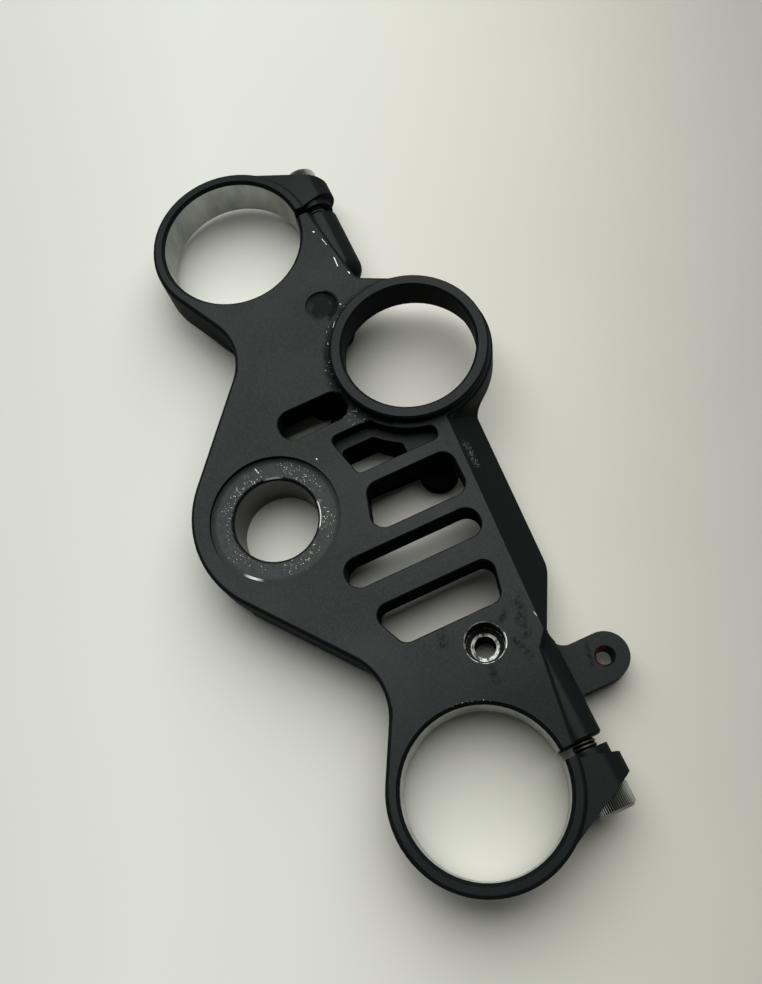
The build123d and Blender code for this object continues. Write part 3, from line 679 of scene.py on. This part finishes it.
def coldHeadedSteel():
    # Plain steel screw, cold headed and knurled: grey, darker in the grooves between the ridges, and with a
    # dark thread that is partly old grease and partly painted shade of the slit it lies in.
    size = pinchScrew
    material, tree, shader = newMaterial("cold headed steel")
    place = placeInMillimetres(tree)
    film = addNode(tree, "ShaderNodeTexNoise", {"Vector": place, "Scale": 0.35, "Detail": 6.0,
                                                "Roughness": 0.65})
    scratch = addNode(tree, "ShaderNodeTexNoise", {"Vector": place, "Scale": 3.0, "Detail": 3.0})
    colour = addNode(tree, "ShaderNodeMix", {"Factor": film, "A": linear(size["steelDark"]),
                                             "B": linear(size["steelLight"])}, data_type="RGBA")
    axis = (0.0, size["axisY"], size["axisZ"])
    away = addNode(tree, "ShaderNodeVectorMath", {0: place, 1: axis}, operation="SUBTRACT")
    across = addNode(tree, "ShaderNodeVectorMath", {0: away, 1: (0, 1, 1)}, operation="MULTIPLY")
    radius = addNode(tree, "ShaderNodeVectorMath", {0: across}, operation="LENGTH").outputs["Value"]
    thick, clean = size["darkThread"]
    darkThread = addNode(tree, "ShaderNodeMapRange", {"Value": radius, "From Min": thick, "From Max": clean,
                                                   "To Min": 1.0, "To Max": 0.0})
    coated = addNode(tree, "ShaderNodeMapRange", {"Value": film, "From Min": 0.3, "From Max": 0.7,
                                                  "To Min": 0.95, "To Max": 0.7})
    greaseAndShade = addNode(tree, "ShaderNodeMath", {0: darkThread, 1: coated}, operation="MULTIPLY")
    inside, foot, crest = size["inGrooves"]
    low = addNode(tree, "ShaderNodeMapRange", {"Value": radius, "From Min": foot, "From Max": crest,
                                               "To Min": 0.95, "To Max": 0.0})
    side = addNode(tree, "ShaderNodeMath", {0: radius, 1: inside}, operation="GREATER_THAN")
    inGrooves = addNode(tree, "ShaderNodeMath", {0: low, 1: side}, operation="MULTIPLY")
    darkened = addNode(tree, "ShaderNodeMath", {0: greaseAndShade, 1: inGrooves}, operation="MAXIMUM")
    colour = addNode(tree, "ShaderNodeMix", {"Factor": darkened, "A": colour, "B": linear(size["darkened"])},
                     data_type="RGBA")
    tree.links.new(colour.outputs[2], shader.inputs["Base Color"])
    rough = addNode(tree, "ShaderNodeMapRange", {"Value": scratch, "To Min": 0.28, "To Max": 0.5})
    tree.links.new(rough.outputs[0], shader.inputs["Roughness"])
    bump = addNode(tree, "ShaderNodeBump", {"Height": scratch, "Strength": 0.4, "Distance": 0.02 * mm})
    tree.links.new(bump.outputs[0], shader.inputs["Normal"])
    shader.inputs["Metallic"].default_value = 1.0
    return material


def pinchScrewPiece(name, seatX, outward, material, knurl, thread):
    size = pinchScrew
    piece = meshObject(name, screwBody())
    threadLength = size["shankLength"] - size["plainLength"] - size["pitch"]
    useTree(piece, knurl, {"Ridges": size["knurls"],
                           "Core radius": (size["headRadius"] - size["knurlHeight"]) * mm,
                           "Height": size["knurlHeight"] * mm,
                           "Length": (size["headHeight"] - size["topChamfer"] - size["underCut"]) * mm,
                           "Middle": (size["headHeight"] - size["topChamfer"] + size["underCut"]) / 2 * mm,
                           "Material": material})
    useTree(piece, thread, {"Pitch": size["pitch"] * mm, "Length": threadLength * mm,
                            "Crest radius": size["shankRadius"] * mm,
                            "Depth": size["threadDepth"] * mm,
                            "Start": (size["pitch"] / 2 - size["shankLength"]) * mm,
                            "Material": material})
    bakeModifiers(piece)
    # the screw is made along Z, then laid along the part's X
    turn = Matrix.Rotation(math.radians(90 * outward), 4, "Y")
    seat = Matrix.Translation(Vector((seatX, size["axisY"], size["axisZ"])) * mm)
    piece.data.transform(seat @ turn)
    bm = bmesh.new()
    bm.from_mesh(piece.data)
    bmesh.ops.remove_doubles(bm, verts=bm.verts, dist=1e-7)
    bmesh.ops.recalc_face_normals(bm, faces=bm.faces)
    bm.to_mesh(piece.data)
    bm.free()
    return piece


steel, knurl, thread = coldHeadedSteel(), knurlTree(), threadTree()
for node, (seatX, outward) in pinchScrew["seats"].items():
    screw = pinchScrewPiece(node + "_detailed", seatX, outward, steel, knurl, thread)
    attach(screw, "root")
    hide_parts(node)
print("pinch screws in place")


tableLook = {
    "size": 3.0,
    # colour across the table, from the left of the picture to its right, by distance in metres: a painted
    # falloff of light, darker to the right
    "stops": ((-0.13, "#d2d3cc"), (-0.04, "#dddfd6"), (0.04, "#d9d9cf"), (0.09, "#cdcdc1"),
              (0.13, "#bfbeb3"), (0.18, "#acaaa4")),
    "from": -0.15,
    "to": 0.2,
    "across": (0.405, 0.914, 0.0),   # left to right in the picture
    "patches": 9.0,                  # repeats per metre of the uneven paint
    "waver": 0.03,                   # how far it moves the colours, in metres
    "roughness": 0.75,
    "specular": 0.1,
}


def paintedTable():
    # Smooth painted board: pale, its colour darkened towards the right of the picture as a painted falloff of
    # light.
    look = tableLook
    material, tree, shader = newMaterial("painted board")
    coords = addNode(tree, "ShaderNodeTexCoord")
    across = addNode(tree, "ShaderNodeVectorMath", {0: coords.outputs["Object"], 1: look["across"]},
                     operation="DOT_PRODUCT")
    patch = addNode(tree, "ShaderNodeTexNoise", {"Vector": coords.outputs["Object"],
                                                 "Scale": look["patches"], "Detail": 3.0})
    place = addNode(tree, "ShaderNodeMath", {0: patch, 1: look["waver"], 2: across},
                    operation="MULTIPLY_ADD")
    share = addNode(tree, "ShaderNodeMapRange", {"Value": place, "From Min": look["from"] + look["waver"] / 2,
                                                 "From Max": look["to"] + look["waver"] / 2})
    ramp = addNode(tree, "ShaderNodeValToRGB", {"Fac": share})
    stops = ramp.color_ramp.elements
    while len(stops) < len(look["stops"]):
        stops.new(0.5)
    for stop, (distance, colour) in zip(stops, look["stops"]):
        stop.position = (distance - look["from"]) / (look["to"] - look["from"])
        stop.color = linear(colour)
    tree.links.new(ramp.outputs[0], shader.inputs["Base Color"])
    shader.inputs["Roughness"].default_value = look["roughness"]
    shader.inputs["Specular IOR Level"].default_value = look["specular"]
    return material


def makeTable():
    half = tableLook["size"] / 2
    bm = bmesh.new()
    corners = [bm.verts.new((x * half, y * half, 0)) for x, y in ((-1, -1), (1, -1), (1, 1), (-1, 1))]
    bm.faces.new(corners)
    mesh = bpy.data.meshes.new("table")
    bm.to_mesh(mesh)
    bm.free()
    mesh.materials.append(paintedTable())
    return meshObject("table", mesh)


makeTable()

# One wide panel of light, like a big window beyond the left clamp
lampSetup = {"towards": (-0.606, 0.283, 0.743), "distance": 4.0, "size": 7.0, "power": 362.0}
skySetup = {"horizon": 0.03, "overhead": 0.06, "low": 0.25, "high": 0.95, "shown": "#d6d7d0"}
cameraSetup = {
    "position": (0.121246, 0.021861, 0.330091),
    "right": (0.402485, 0.908829, -0.109706),
    "up": (-0.847789, 0.415270, 0.329855),
    "lens": 37.23,
    "sensor": 36.0,
    "nearest": 0.01,
}


def makeLamp():
    lamp = bpy.data.lights.new("window panel", "AREA")
    lamp.shape = "DISK"
    lamp.size = lampSetup["size"]
    lamp.energy = lampSetup["power"]
    holder = bpy.data.objects.new("window panel", lamp)
    bpy.context.scene.collection.objects.link(holder)
    towards = Vector(lampSetup["towards"])
    holder.location = towards * lampSetup["distance"]
    holder.rotation_euler = towards.to_track_quat("Z", "Y").to_euler()
    holder.visible_camera = False


def makeSky():
    # dim as a light, most of all at the horizon; pale where the camera or a reflection meets it
    world = bpy.data.worlds.new("room")
    bpy.context.scene.world = world
    world.use_nodes = True
    tree = world.node_tree
    background = next(node for node in tree.nodes if node.type == "BACKGROUND")
    coords = addNode(tree, "ShaderNodeTexCoord")
    height = addNode(tree, "ShaderNodeSeparateXYZ", {0: coords.outputs["Generated"]}).outputs["Z"]
    level = addNode(tree, "ShaderNodeMapRange", {"Value": height, "From Min": skySetup["low"],
                                                 "From Max": skySetup["high"],
                                                 "To Min": skySetup["horizon"],
                                                 "To Max": skySetup["overhead"]},
                    interpolation_type="SMOOTHSTEP")
    rays = addNode(tree, "ShaderNodeLightPath").outputs
    glossy = addNode(tree, "ShaderNodeMath", {0: rays["Is Camera Ray"], 1: rays["Is Glossy Ray"]},
                     operation="MAXIMUM")
    seen = addNode(tree, "ShaderNodeMath", {0: glossy, 1: rays["Is Transmission Ray"]}, operation="MAXIMUM")
    tint = addNode(tree, "ShaderNodeMix", {"Factor": seen, "A": (1.0, 1.0, 1.0, 1.0),
                                           "B": linear(skySetup["shown"])}, data_type="RGBA")
    strength = addNode(tree, "ShaderNodeMix", {"Factor": seen, "A": level, "B": 1.0}, data_type="FLOAT")
    tree.links.new(tint.outputs[2], background.inputs["Color"])
    tree.links.new(strength.outputs[0], background.inputs["Strength"])


def makeCamera():
    right, up = Vector(cameraSetup["right"]), Vector(cameraSetup["up"])
    back = right.cross(up)
    data = bpy.data.cameras.new("camera")
    data.lens = cameraSetup["lens"]
    data.sensor_width = cameraSetup["sensor"]
    data.clip_start = cameraSetup["nearest"]
    camera = bpy.data.objects.new("camera", data)
    bpy.context.scene.collection.objects.link(camera)
    turn = Matrix((right, up, back)).transposed().to_4x4()
    camera.matrix_world = Matrix.Translation(cameraSetup["position"]) @ turn
    bpy.context.scene.camera = camera


makeLamp()
makeSky()
makeCamera()
bpy.context.scene.view_settings.view_transform = "Standard"
print("table, light and camera set")
